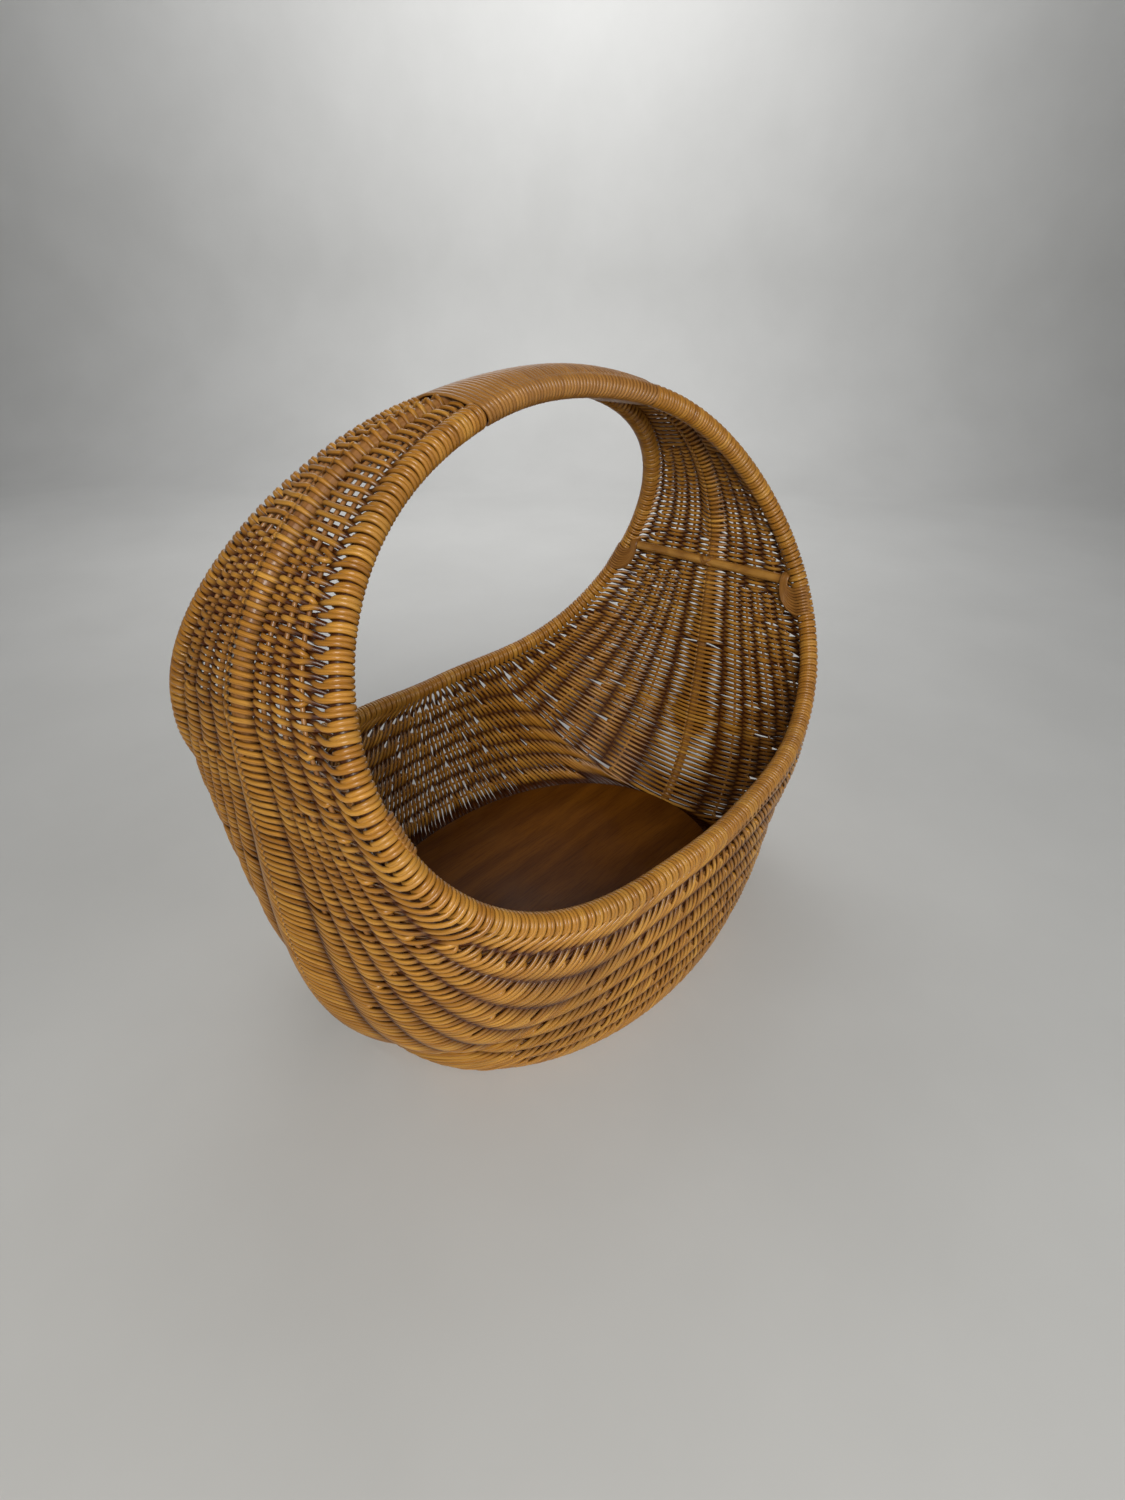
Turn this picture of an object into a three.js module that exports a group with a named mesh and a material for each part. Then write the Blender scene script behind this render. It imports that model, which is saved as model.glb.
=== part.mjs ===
// A wicker pet basket with a tall arched handle: two bent rim hoops that lean together at the
// top, a centre keel pole between them, ribs that fan out from the handle, a woven wall over
// the ribs, a flat board floor, and a bare crossbar lashed across each end.
// Millimetres, +Z up. X runs from the left end to the right end, Y from front to back.
// The origin is on the ground under the middle of the basket.
import * as THREE from "three";

// ---- Driving dimensions ----
const HOOP_CENTRE_HEIGHT = 406; // height of the point that every angle is measured about
const HOOP_POLE_RADIUS = 10.5; // rim pole with the cane wound on it
const BARE_HOOP_RADIUS = 6.6; // the same pole under the handle wrap
const KEEL_POLE_RADIUS = 7;
const RIB_RADIUS = 2.8;
const CROSSBAR_RADIUS = 6;
const BASE_RING_RADIUS = 5;
const BASE_RING_HEIGHT = 9;
const BASE_RING_INSET = 7; // from the foot of the wall to the ring's middle line
const BASE_HALF_LENGTH = 267;
const BASE_HALF_WIDTH = 200;
const BASE_ROUNDNESS = 2.1; // 2 is an ellipse, more is squarer
const END_HALF_LENGTH = 332.1; // keel distance from the middle at the widest height
const END_DROP_REACH = 440.65;
const END_SQUARENESS = 4.5;
const HANDLE_CROWN = 6; // how far the keel stands above the hoops at the handle
const KEEL_STANDOFF = 13; // how far the keel stands outside the hoops at the ends
const KEEL_LEAVES_HOOPS = degrees(28); // angle at which the keel starts to stand off
const KEEL_CLEAR_OF_HOOPS = degrees(58); // angle at which it has its full standoff
const KEEL_FOOT_GAP = degrees(1.8); // from the keel's foot to the base corner
const WALL_BULGE = 14; // how far the low walls swell outside the rim
const WALL_BULGE_START = degrees(110);
const WALL_BULGE_FULL = degrees(160);
const END_SECTION_ROUNDNESS = 2.3; // of the quarter arch from rim to keel, where 2 is round
const WALL_SECTION_ROUNDNESS = 1.75; // of the quarter arch from rim to base
const WEAVE_GAP = 1.4;
const WEAVE_THICKNESS = 4;
const WEAVE_EDGE = 0.02; // share of the way that the weave keeps clear of hoop and keel
const BOARD_THICKNESS = 6;
const BOARD_INSET = 5;
const BASE_WEAVE_THICKNESS = 5;
const HANDLE_WRAP_THICKNESS = 3;
const HANDLE_WRAP_CLEARANCE = 1;
const CROSSBAR_INSET = 2.0; // how far the crossbar sits inside the hoops' middle line
const CROSSBAR_END = 15; // from the hoop's middle line, which slopes here, to the bar's end
const LASHING_START = 2; // from the bar's end to its lashing
const LASHING_LENGTH = 20;
const LASHING_THICKNESS = 3;
const TIE_RADIUS = 1.5;
const TIE_CORNERS = 0.62; // 1 makes the tie's loop an ellipse, less makes it squarer
const TOUCH_GAP = 0.3; // space left between touching pieces

const BOARD_BOTTOM = BASE_RING_HEIGHT + BASE_RING_RADIUS + TOUCH_GAP;

// Angles are measured from straight up, round the hoop centre, towards an end.
const HOOP_STEPS = 56;
const KEEL_STEPS = 48;
const BASE_RING_STEPS = 40;
const FLAT_OVAL_STEPS = 44;
const HANDLE_WRAP_STEPS = 5; // to each side of the top
const HANDLE_WRAP_REACH = degrees(32.14);
const HANDLE_WRAP_SHOULDER = degrees(1.3); // how soon the rim's cane begins after the wrap
const WEAVE_START_ANGLE = degrees(39);
const CROSSBAR_ANGLE = degrees(95.6);
const BASE_CORNER_ANGLE =
  Math.PI - Math.atan2(BASE_HALF_LENGTH, HOOP_CENTRE_HEIGHT - BASE_RING_HEIGHT);

// Rib places are in eighths of the way from the hoop to the keel. Main ribs start at the handle.
// Filler ribs start lower down, after the given number of steps round the end.
const RIB_PLACES = 8;
const MAIN_RIBS = [2, 4, 6];
const FILLER_RIBS = [
  { place: 1, after: 10 },
  { place: 3, after: 8 },
  { place: 5, after: 8 },
  { place: 7, after: 16 },
];
const END_STEPS = 14;
const HALF_WALL_STEPS = 6;
const WALL_SEAM = degrees(1.6); // between an end's weave and the low wall's

// A point well inside the basket, which tells the wall's inside from its outside.
const INSIDE = new THREE.Vector3(0, 0, 300);

const CANE = { color: 0xb9752b, roughness: 0.5, metalness: 0 };
const WRAPPED_CANE = { color: 0xa5652a, roughness: 0.45, metalness: 0 };
const BARE_POLE = { color: 0xc08a3e, roughness: 0.35, metalness: 0 };
const RIB_POLE = { color: 0x9b642c, roughness: 0.55, metalness: 0 };
const BOARD = { color: 0x6b3312, roughness: 0.35, metalness: 0 };

const basket = new THREE.Group();

// ---- Small helpers ----
function degrees(angle) {
  return (angle * Math.PI) / 180;
}

function power(value, exponent) {
  return Math.sign(value) * Math.abs(value) ** exponent;
}

function smooth(x) {
  const t = Math.min(Math.max(x, 0), 1);
  return t * t * (3 - 2 * t);
}

function addPiece(name, geometry, look) {
  const mesh = new THREE.Mesh(geometry, new THREE.MeshStandardMaterial(look));
  mesh.name = name;
  basket.add(mesh);
  return mesh;
}

// A closed body from rows of points: each row is one ring of the same length, each ring joins
// the next, and the two end rings are capped, or joined to each other when the sweep closes.
function bodyFromRings(rings, closed) {
  const count = rings[0].length;
  const positions = [];
  const triangles = [];
  for (const ring of rings) {
    for (const point of ring) {
      positions.push(point.x, point.y, point.z);
    }
  }
  const spans = closed ? rings.length : rings.length - 1;
  for (let i = 0; i < spans; i++) {
    const here = i * count;
    const next = ((i + 1) % rings.length) * count;
    for (let j = 0; j < count; j++) {
      const k = (j + 1) % count;
      triangles.push(here + j, here + k, next + k, here + j, next + k, next + j);
    }
  }
  if (!closed) {
    const last = (rings.length - 1) * count;
    for (let j = 1; j < count - 1; j++) {
      triangles.push(0, j + 1, j);
      triangles.push(last, last + j, last + j + 1);
    }
  }
  const geometry = new THREE.BufferGeometry();
  geometry.setAttribute("position", new THREE.Float32BufferAttribute(positions, 3));
  geometry.setIndex(triangles);
  return facingOut(geometry);
}

// Turns the triangles over when the body's signed volume is negative.
function facingOut(geometry) {
  const at = geometry.getAttribute("position");
  const index = geometry.getIndex();
  const a = new THREE.Vector3();
  const b = new THREE.Vector3();
  const c = new THREE.Vector3();
  let volume = 0;
  for (let i = 0; i < index.count; i += 3) {
    a.fromBufferAttribute(at, index.getX(i));
    b.fromBufferAttribute(at, index.getX(i + 1));
    c.fromBufferAttribute(at, index.getX(i + 2));
    volume += a.dot(b.cross(c));
  }
  if (volume < 0) {
    for (let i = 0; i < index.count; i += 3) {
      const first = index.getX(i);
      index.setX(i, index.getX(i + 1));
      index.setX(i + 1, first);
    }
  }
  geometry.computeVertexNormals();
  return geometry;
}

// A pole along a row of points, with one radius or one for each point. The section keeps one
// side towards `steady`, which is never along the path, so that the pole doesn't twist.
function pole(points, radius, { closed = false, sides = 6, steady }) {
  const total = points.length;
  const rings = points.map((point, i) => {
    const before = closed ? points[(i + total - 1) % total] : points[Math.max(i - 1, 0)];
    const after = closed ? points[(i + 1) % total] : points[Math.min(i + 1, total - 1)];
    const along = after.clone().sub(before).normalize();
    const across = new THREE.Vector3().crossVectors(along, steady(point)).normalize();
    const up = new THREE.Vector3().crossVectors(across, along);
    const thick = Array.isArray(radius) ? radius[i] : radius;
    const ring = [];
    for (let j = 0; j < sides; j++) {
      const turn = ((j + 0.5) / sides) * 2 * Math.PI;
      const out = across.clone().multiplyScalar(thick * Math.cos(turn));
      ring.push(point.clone().add(out).addScaledVector(up, thick * Math.sin(turn)));
    }
    return ring;
  });
  return bodyFromRings(rings, closed);
}

function fromHoopCentre(point) {
  return new THREE.Vector3(point.x, 0, point.z - HOOP_CENTRE_HEIGHT);
}

function vertical() {
  return new THREE.Vector3(0, 0, 1);
}

// ---- The shape of the basket, for the front half and x >= 0 ----
function hoopRadius(angle) {
  return (
    247 - 65.5 * Math.cos(2 * angle) + 10.3 * Math.cos(3 * angle) + 7.3 * Math.cos(4 * angle) -
    3.9 * Math.cos(5 * angle) + 0.7 * Math.cos(6 * angle)
  );
}

// How far the hoop stands in front of the middle: narrow at the handle, wide at the low rim.
function hoopDepth(angle) {
  return (
    122.8 - 113.5 * Math.cos(angle) + 4.7 * Math.cos(2 * angle) + 11.7 * Math.cos(3 * angle) -
    3.8 * Math.cos(4 * angle) - 2.5 * Math.cos(5 * angle)
  );
}

function hoopPoint(angle) {
  const radius = hoopRadius(angle);
  const x = radius * Math.sin(angle);
  return new THREE.Vector3(x, -hoopDepth(angle), HOOP_CENTRE_HEIGHT + radius * Math.cos(angle));
}

function keelRadius(angle) {
  if (angle <= Math.PI / 2) {
    const share = (angle - KEEL_LEAVES_HOOPS) / (KEEL_CLEAR_OF_HOOPS - KEEL_LEAVES_HOOPS);
    return hoopRadius(angle) + THREE.MathUtils.lerp(HANDLE_CROWN, KEEL_STANDOFF, smooth(share));
  }
  const sideways = Math.abs(Math.sin(angle) / END_HALF_LENGTH) ** END_SQUARENESS;
  const down = Math.abs(Math.cos(angle) / END_DROP_REACH) ** END_SQUARENESS;
  return (sideways + down) ** (-1 / END_SQUARENESS);
}

// The line that the wall ends on: down the keel, then round the base ring to the front.
function wallEnd(angle) {
  if (angle <= BASE_CORNER_ANGLE) {
    const radius = keelRadius(angle);
    const height = HOOP_CENTRE_HEIGHT + radius * Math.cos(angle);
    return new THREE.Vector3(radius * Math.sin(angle), 0, height);
  }
  const turn = ((angle - BASE_CORNER_ANGLE) / (Math.PI - BASE_CORNER_ANGLE)) * (Math.PI / 2);
  return baseShape(turn, 0, BASE_RING_HEIGHT);
}

// The oval that the basket stands on, drawn `inset` inside the foot of the wall.
function baseShape(turn, inset, height) {
  const x = (BASE_HALF_LENGTH - inset) * power(Math.cos(turn), 2 / BASE_ROUNDNESS);
  const y = -(BASE_HALF_WIDTH - inset) * power(Math.sin(turn), 2 / BASE_ROUNDNESS);
  return new THREE.Vector3(x, y, height);
}

// A quarter of a rounded arch from the hoop to the wall's end, at one angle.
function sectionPoint(angle, turn) {
  const start = hoopPoint(angle);
  const end = wallEnd(angle);
  const low = smooth((angle - WALL_BULGE_START) / (WALL_BULGE_FULL - WALL_BULGE_START));
  const corner = new THREE.Vector3(end.x, start.y - WALL_BULGE * low, end.z);
  const roundness = THREE.MathUtils.lerp(END_SECTION_ROUNDNESS, WALL_SECTION_ROUNDNESS, low);
  const away = corner.clone().sub(end).multiplyScalar(power(Math.cos(turn), 2 / roundness));
  const along = corner.clone().sub(start).multiplyScalar(power(Math.sin(turn), 2 / roundness));
  return start.add(end).sub(corner).add(away).add(along);
}

// The same arch by true distance from the hoop's middle line.
function sectionAtDistance(angle, distanceOf) {
  const steps = 32;
  const points = [];
  const lengths = [0];
  for (let i = 0; i <= steps; i++) {
    points.push(sectionPoint(angle, (i / steps) * (Math.PI / 2)));
    if (i > 0) {
      lengths.push(lengths[i - 1] + points[i].distanceTo(points[i - 1]));
    }
  }
  const wanted = distanceOf(lengths[steps]);
  let i = 1;
  while (i < steps && lengths[i] < wanted) {
    i++;
  }
  const share = (wanted - lengths[i - 1]) / (lengths[i] - lengths[i - 1]);
  return points[i - 1].clone().lerp(points[i], share);
}

// A point of the wall: place 0 is at the hoop's side, place 1 at the keel's or base ring's.
function wallPoint(angle, place) {
  return sectionAtDistance(angle, (length) => {
    return HOOP_POLE_RADIUS + (length - HOOP_POLE_RADIUS - KEEL_POLE_RADIUS) * place;
  });
}

function wallNormal(angle, place) {
  const step = 0.01;
  const low = Math.max(place - step, 0);
  const high = Math.min(place + step, 1);
  const round = wallPoint(angle + step, place).sub(wallPoint(angle - step, place));
  const down = wallPoint(angle, high).sub(wallPoint(angle, low));
  const normal = new THREE.Vector3().crossVectors(down, round).normalize();
  const outside = wallPoint(angle, place).sub(INSIDE);
  return normal.dot(outside) < 0 ? normal.negate() : normal;
}

// Angles past 180 degrees are the left half, and `side` is -1 for the front and 1 for the back.
function mirrored(point, angle, side) {
  const x = angle > Math.PI ? -point.x : point.x;
  return new THREE.Vector3(x, -side * point.y, point.z);
}

function folded(angle) {
  const turned = ((angle % (2 * Math.PI)) + 2 * Math.PI) % (2 * Math.PI);
  return turned > Math.PI ? 2 * Math.PI - turned : turned;
}

function anglesBetween(start, end, steps) {
  return Array.from({ length: steps + 1 }, (_, i) => start + ((end - start) * i) / steps);
}

// ---- Poles: rim hoops, keel, ribs and base ring ----
function makeHoop(name, side) {
  const reach = HANDLE_WRAP_REACH + HANDLE_WRAP_SHOULDER;
  const bare = anglesBetween(-reach, reach, 2 * HANDLE_WRAP_STEPS);
  const shoulder = reach + HANDLE_WRAP_SHOULDER;
  const wound = anglesBetween(shoulder, 2 * Math.PI - shoulder, HOOP_STEPS - bare.length);
  const points = [...bare.map((angle) => (angle + 2 * Math.PI) % (2 * Math.PI)), ...wound]
    .map((angle) => mirrored(hoopPoint(folded(angle)), angle, side));
  const radii = points.map((point, i) => (i < bare.length ? BARE_HOOP_RADIUS : HOOP_POLE_RADIUS));
  const sweep = { closed: true, sides: 8, steady: fromHoopCentre };
  addPiece(name, pole(points, radii, sweep), WRAPPED_CANE);
}

// The keel is one pole from the base at one end, over the handle, to the base at the other.
function makeKeel() {
  const lowest = BASE_CORNER_ANGLE - KEEL_FOOT_GAP;
  const points = anglesBetween(-lowest, lowest, KEEL_STEPS).map((angle) => {
    const point = wallEnd(Math.abs(angle));
    return angle < 0 ? new THREE.Vector3(-point.x, 0, point.z) : point;
  });
  const sweep = { sides: 8, steady: () => new THREE.Vector3(0, 1, 0) };
  addPiece("centre_keel_pole", pole(points, KEEL_POLE_RADIUS, sweep), RIB_POLE);
}

// The angles that ribs and weave share, from the handle's right end round to its left end.
function sharedAngles() {
  const end = anglesBetween(WEAVE_START_ANGLE, BASE_CORNER_ANGLE, END_STEPS);
  const wall = anglesBetween(BASE_CORNER_ANGLE, Math.PI, HALF_WALL_STEPS);
  const right = [...end, ...wall.slice(1)];
  const left = right.slice(0, -1).map((angle) => 2 * Math.PI - angle);
  return [...right, ...left.reverse()];
}

function makeRib(name, eighths, after, side) {
  const angles = sharedAngles();
  const points = angles.slice(after, angles.length - after).map((angle) => {
    return mirrored(wallPoint(folded(angle), eighths / RIB_PLACES), angle, side);
  });
  const steady = (point) => point.clone().sub(INSIDE);
  addPiece(name, pole(points, RIB_RADIUS, { steady }), RIB_POLE);
}

function makeRibs(sideName, side) {
  MAIN_RIBS.forEach((eighths, i) => {
    makeRib(`${sideName}_main_rib_${i + 1}`, eighths, 0, side);
  });
  FILLER_RIBS.forEach(({ place: eighths, after }, i) => {
    makeRib(`${sideName}_filler_rib_${i + 1}`, eighths, after, side);
  });
}

function makeBaseRing() {
  const points = anglesBetween(0, 2 * Math.PI, BASE_RING_STEPS)
    .slice(0, BASE_RING_STEPS)
    .map((turn) => baseShape(turn, BASE_RING_INSET, BASE_RING_HEIGHT));
  const sweep = { closed: true, steady: vertical };
  addPiece("base_ring", pole(points, BASE_RING_RADIUS, sweep), RIB_POLE);
}

// ---- Woven wall: a thin curved panel just outside the ribs ----
function makeWeave(name, angles, side) {
  const near = RIB_RADIUS + WEAVE_GAP;
  const far = near + WEAVE_THICKNESS;
  const rings = angles.map((angle) => {
    const inside = [];
    const outside = [];
    for (let j = 0; j <= RIB_PLACES; j++) {
      const share = Math.min(Math.max(j / RIB_PLACES, WEAVE_EDGE), 1 - WEAVE_EDGE);
      const point = wallPoint(folded(angle), share);
      const normal = wallNormal(folded(angle), share);
      inside.push(mirrored(point.clone().addScaledVector(normal, near), angle, side));
      outside.push(mirrored(point.clone().addScaledVector(normal, far), angle, side));
    }
    return [...inside, ...outside.reverse()];
  });
  addPiece(name, stripBody(rings), CANE);
}

// Like bodyFromRings, but each end of the strip is closed by squares between its two faces.
function stripBody(rings) {
  const count = rings[0].length;
  const body = bodyFromRings(rings, true);
  const spans = Array.from(body.getIndex().array);
  const joined = count * 6; // numbers used by the span that joins the last ring to the first
  const kept = spans.slice(0, spans.length - joined);
  const last = (rings.length - 1) * count;
  const flipped = spans[0] !== 0;
  for (let j = 0; j < count / 2 - 1; j++) {
    const a = j;
    const b = j + 1;
    const c = count - 2 - j;
    const d = count - 1 - j;
    const front = [a, c, b, a, d, c];
    const back = [last + a, last + b, last + c, last + a, last + c, last + d];
    const both = [...front, ...back];
    for (let i = 0; i < both.length; i += 3) {
      if (flipped) {
        kept.push(both[i + 1], both[i], both[i + 2]);
      } else {
        kept.push(both[i], both[i + 1], both[i + 2]);
      }
    }
  }
  body.setIndex(kept);
  return facingOut(body);
}

function makeWeaves(sideName, side) {
  const angles = sharedAngles();
  const end = angles.slice(0, END_STEPS + 1);
  end[END_STEPS] -= WALL_SEAM;
  const wall = angles.slice(END_STEPS, angles.length - END_STEPS);
  wall[0] += WALL_SEAM;
  wall[wall.length - 1] -= WALL_SEAM;
  makeWeave(`right_end_${sideName}_weave`, end, side);
  makeWeave(`left_end_${sideName}_weave`, end.map((angle) => 2 * Math.PI - angle), side);
  makeWeave(`${sideName}_wall_weave`, wall, side);
}

// ---- Handle wrap: a sleeve of cane round the two hoops and the keel at the top ----
function makeHandleWrap() {
  const reach = HANDLE_WRAP_REACH;
  const rings = anglesBetween(-reach, reach, 2 * HANDLE_WRAP_STEPS).map((angle) => {
    const inside = BARE_HOOP_RADIUS + HANDLE_WRAP_CLEARANCE;
    const inner = handleSection(angle, inside);
    const outer = handleSection(angle, inside + HANDLE_WRAP_THICKNESS);
    return { inner, outer };
  });
  addPiece("handle_wrap", sleeveFromRings(rings), WRAPPED_CANE);
}

// An outline with round ends about both hoops and a crowned top over the keel, square to the
// handle at this angle.
function handleSection(angle, radius) {
  const arc = 5;
  const crownPlaces = [-0.6, -0.3, 0, 0.3, 0.6];
  const centre = hoopPoint(Math.abs(angle));
  const depth = hoopDepth(angle);
  const out = new THREE.Vector3(Math.sin(angle), 0, Math.cos(angle));
  const points = [];
  const addPoint = (y, lift) => {
    const middle = new THREE.Vector3(Math.sign(angle) * centre.x, y, centre.z);
    points.push(middle.addScaledVector(out, lift));
  };
  for (const side of [-1, 1]) {
    for (let j = 0; j <= arc; j++) {
      const turn = (j / arc) * Math.PI - Math.PI / 2;
      addPoint(side * (depth + radius * Math.cos(turn)), -side * radius * Math.sin(turn));
    }
    if (side < 0) {
      for (const place of crownPlaces) {
        addPoint(place * depth, radius + HANDLE_CROWN * (1 - place * place));
      }
    }
  }
  return points;
}

// A hollow body, open at both ends, from rows of inner and outer outlines.
function sleeveFromRings(rings) {
  const tube = [...rings.map((ring) => ring.outer), ...rings.map((ring) => ring.inner).reverse()];
  return bodyFromRings(tube, true);
}

// ---- Flat floor pieces ----
function makeFlatOval(name, inset, bottom, thickness, look) {
  const outline = anglesBetween(0, 2 * Math.PI, FLAT_OVAL_STEPS)
    .slice(0, FLAT_OVAL_STEPS)
    .map((turn) => baseShape(turn, inset, 0))
    .map((point) => new THREE.Vector2(point.x, point.y));
  const settings = { depth: thickness, bevelEnabled: false };
  const mesh = addPiece(name, new THREE.ExtrudeGeometry(new THREE.Shape(outline), settings), look);
  mesh.position.z = bottom;
}

// ---- Crossbars and their lashings ----
function makeCrossbar(sideName, direction) {
  const hoop = hoopPoint(CROSSBAR_ANGLE);
  const x = direction * (hoop.x - CROSSBAR_INSET);
  const halfLength = -hoop.y - CROSSBAR_END;
  const length = 2 * halfLength;
  const bar = new THREE.CylinderGeometry(CROSSBAR_RADIUS, CROSSBAR_RADIUS, length, 12);
  const mesh = addPiece(`${sideName}_crossbar`, bar, BARE_POLE);
  mesh.position.set(x, 0, hoop.z);
  const lashed = halfLength - LASHING_START;
  makeEndLashing(`${sideName}_crossbar_front_lashing`, x, -lashed, hoop.z);
  makeEndLashing(`${sideName}_crossbar_back_lashing`, x, lashed, hoop.z);
  makeMiddleTie(`${sideName}_crossbar_middle_tie`, x, hoop.z, direction);
}

// A collar of cane on the end of the crossbar, thickest against the hoop.
function makeEndLashing(name, x, y, z) {
  const inner = CROSSBAR_RADIUS + TOUCH_GAP;
  const outer = inner + LASHING_THICKNESS;
  const profile = [
    new THREE.Vector2(inner, 0),
    new THREE.Vector2(outer, 0),
    new THREE.Vector2(outer, LASHING_LENGTH / 2),
    new THREE.Vector2(inner + LASHING_THICKNESS / 2, LASHING_LENGTH),
    new THREE.Vector2(inner, LASHING_LENGTH),
    new THREE.Vector2(inner, 0),
  ];
  const mesh = addPiece(name, new THREE.LatheGeometry(profile, 12), WRAPPED_CANE);
  mesh.position.set(x, y, z);
  mesh.rotation.x = y < 0 ? 0 : Math.PI;
}

// A slanting loop of cane that binds the middle of the crossbar to the keel behind it.
function makeMiddleTie(name, barX, height, direction) {
  const keel = wallEnd(CROSSBAR_ANGLE).x;
  const near = Math.abs(barX) - CROSSBAR_RADIUS - TOUCH_GAP - TIE_RADIUS;
  const far = keel + KEEL_POLE_RADIUS + TOUCH_GAP + TIE_RADIUS;
  const halfWidth = KEEL_POLE_RADIUS * Math.SQRT2 + 3 * TOUCH_GAP + TIE_RADIUS;
  const steps = 18;
  const points = anglesBetween(0, 2 * Math.PI, steps)
    .slice(0, steps)
    .map((turn) => {
      const x = (near + far) / 2 + ((far - near) / 2) * power(Math.cos(turn), TIE_CORNERS);
      const slant = (halfWidth * power(Math.sin(turn), TIE_CORNERS)) / Math.SQRT2;
      return new THREE.Vector3(direction * x, slant, height + slant);
    });
  const steady = () => new THREE.Vector3(0, 1, -1);
  addPiece(name, pole(points, TIE_RADIUS, { closed: true, steady }), WRAPPED_CANE);
}

makeHoop("front_rim_hoop", -1);
makeHoop("back_rim_hoop", 1);
makeKeel();
makeRibs("front", -1);
makeRibs("back", 1);
makeBaseRing();
makeWeaves("front", -1);
makeWeaves("back", 1);
makeHandleWrap();
const baseWeaveInset = BASE_RING_INSET + BASE_RING_RADIUS + TOUCH_GAP;
makeFlatOval("base_weave", baseWeaveInset, 0, BASE_WEAVE_THICKNESS, CANE);
makeFlatOval("floor_board", BOARD_INSET, BOARD_BOTTOM, BOARD_THICKNESS, BOARD);
makeCrossbar("left", -1);
makeCrossbar("right", 1);

export default basket;
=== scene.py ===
"""A wicker pet basket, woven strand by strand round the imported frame.

Shapes are worked out in millimetres in the CAD frame and turned into metres when a mesh is
made. Angles run from straight up, round the middle of the rim hoops, towards the right end,
and past 180 degrees up the left end. "Down" is the way from the rim towards the keel pole
or the base, and "out" is away from the inside of the basket.
"""
import bpy
import numpy as np
from mathutils import Matrix, Vector


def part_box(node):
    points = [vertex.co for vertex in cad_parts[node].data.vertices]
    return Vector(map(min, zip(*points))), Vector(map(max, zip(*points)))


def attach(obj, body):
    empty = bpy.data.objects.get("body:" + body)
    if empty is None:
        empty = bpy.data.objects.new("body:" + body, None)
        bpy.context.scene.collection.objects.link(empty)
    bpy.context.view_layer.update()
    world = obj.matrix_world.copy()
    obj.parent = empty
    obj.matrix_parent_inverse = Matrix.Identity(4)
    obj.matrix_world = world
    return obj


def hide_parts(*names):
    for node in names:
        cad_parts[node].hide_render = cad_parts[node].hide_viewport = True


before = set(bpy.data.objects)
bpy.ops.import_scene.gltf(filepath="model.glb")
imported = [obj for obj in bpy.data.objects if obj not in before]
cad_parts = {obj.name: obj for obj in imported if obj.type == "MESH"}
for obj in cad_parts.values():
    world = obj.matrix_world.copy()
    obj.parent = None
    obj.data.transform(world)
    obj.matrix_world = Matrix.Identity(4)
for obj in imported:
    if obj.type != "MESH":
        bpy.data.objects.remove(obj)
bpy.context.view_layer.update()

MM = 0.001
RANDOM = np.random.default_rng(20)

# ---- The basket's shape, as in the CAD model ----
HOOP_CENTRE_HEIGHT = 406
HOOP_RADIUS = 10.5  # with the cane wound on it
KEEL_RADIUS = 7
RIB_RADIUS = 1.8  # shaved thinner than in the CAD model
BASE_RING_RADIUS = 5
BASE_RING_HEIGHT = 9
BASE_RING_INSET = 7
BASE_HALF_LENGTH = 267
BASE_HALF_WIDTH = 200
BASE_ROUNDNESS = 2.1
END_HALF_LENGTH = 332.1
END_DROP_REACH = 440.65
END_SQUARENESS = 4.5
HANDLE_CROWN = 6
KEEL_STANDOFF = 13
WALL_BULGE = 14
INSIDE = np.array([0, 0, 300.0])
CROSSBAR_ANGLE = np.radians(95.6)
BASE_CORNER = np.pi - np.arctan2(BASE_HALF_LENGTH, HOOP_CENTRE_HEIGHT - BASE_RING_HEIGHT)
HANDLE_HALF_ANGLE = np.radians(32.14)

# ---- The weave ----
STRAND = 2.0  # radius of a weaver
RIM_CORE = HOOP_RADIUS - 2 * STRAND
RIM_RING = HOOP_RADIUS - STRAND
STRAND_WIDTH = 1.1  # a weaver is pressed a little wider than it is thick
STRAND_FLATNESS = 0.85  # its thickness as a share of that width
LIFT = RIB_RADIUS + STRAND - 0.5  # of a weaver's middle, pressed against the rib that it crosses
WEAVE_START = np.radians(32.5)
LEVELS = 8  # ribs lie on eighths of the way down the wall
MAIN_RIBS = (2, 4, 6)
FILLER_STARTS = {1: 115.0, 3: 99.7, 5: 99.7, 7: 156.8}  # degrees
NARROW_WALL = 50  # where the wall is no longer than this, the ribs are woven as one bundle
RIM_PITCH = 4.5  # from one weaver to the next along the upper rim
PACKING = 0.77  # of that pitch, where the rows of an end are beaten down on the ribs
WANDER = 0.0011  # radians that a course strays from its line
UNEVENNESS = 0.12  # share by which the heights of different weavers differ
RIM_TURNS = 1.5
RIM_TURN_STEPS = 36
RIB_TURN_STEPS = 8
POINT_SPACING = 3.4
STRAND_SIDES = 8
GRAIN_SHIFT = 977
RIM_BLEND = 15  # distance over which a weaver leaves the rim pole's own directions
WIDTH_SPREAD = 0.07  # share by which weavers differ in width
RIM_ROUNDING = 0.05  # added to its flatness where a weaver is wound on the rim


def smooth(x):
    t = np.clip(x, 0, 1)
    return t * t * (3 - 2 * t)


def power(value, exponent):
    return np.sign(value) * np.abs(value) ** exponent


def unit(vector):
    return vector / np.maximum(np.linalg.norm(vector, axis=-1, keepdims=True), 1e-9)


def folded(angle):
    """The angle of the same place on the right half, for one past 180 degrees."""
    return np.where(angle > np.pi, 2 * np.pi - angle, angle)


def hoop_radius(angle):
    waves = ((2, -65.5), (3, 10.3), (4, 7.3), (5, -3.9), (6, 0.7))
    return 247 + sum(size * np.cos(count * angle) for count, size in waves)


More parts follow.
